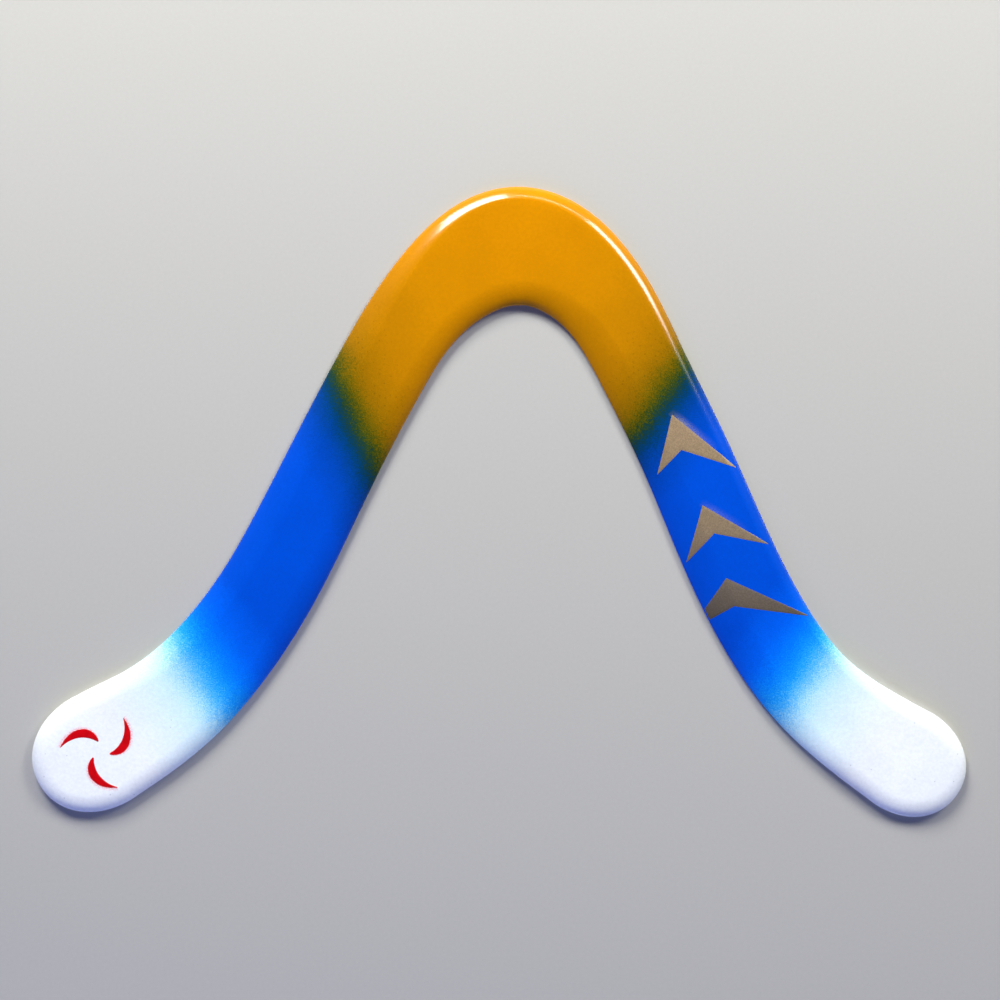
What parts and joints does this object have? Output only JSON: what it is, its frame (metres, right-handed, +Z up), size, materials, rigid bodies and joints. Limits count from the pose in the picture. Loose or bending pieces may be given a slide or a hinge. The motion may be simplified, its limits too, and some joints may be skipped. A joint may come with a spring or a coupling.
{
  "type": "boomerang",
  "caption": "V-shaped returning boomerang with rounded tips, cut from birch plywood, airfoiled and spray painted in sections.",
  "frame": {"origin": "middle of the outline's box, on the flat underside", "axes": "+X towards the right tip, +Y towards the elbow, +Z up through the airfoiled top face"},
  "size_m": [0.3994, 0.2696, 0.0057],
  "materials": {
    "birch_veneer": "sanded, fine grained rotary-cut birch",
    "white_paint": "sprayed acrylic, gloss",
    "blue_paint": "sprayed acrylic, gloss, faded at both ends",
    "yellow_paint": "sprayed acrylic, gloss, faded at both ends",
    "clear_lacquer": "high gloss clear lacquer",
    "bronze_paint": "fine metallic spray, satin",
    "red_paint": "sprayed acrylic, satin"
  },
  "bodies": {
    "root": {"ply_01": "birch_veneer", "ply_02": "birch_veneer", "ply_03": "birch_veneer", "ply_04": "birch_veneer", "ply_05": "birch_veneer", "ply_06": "birch_veneer", "ply_07": "birch_veneer", "ply_08": "birch_veneer", "ply_09": "birch_veneer", "ply_10": "birch_veneer", "white_base_coat": "white_paint", "white_tip_coat_left": "white_paint", "white_tip_coat_right": "white_paint", "blue_coat_left": "blue_paint", "blue_coat_right": "blue_paint", "yellow_elbow_coat": "yellow_paint", "clear_lacquer": "clear_lacquer", "bronze_chevron_1": "bronze_paint", "red_whirl_blade_1": "red_paint", "bronze_chevron_2": "bronze_paint", "red_whirl_blade_2": "red_paint", "bronze_chevron_3": "bronze_paint", "red_whirl_blade_3": "red_paint"}
  },
  "joints": []
}
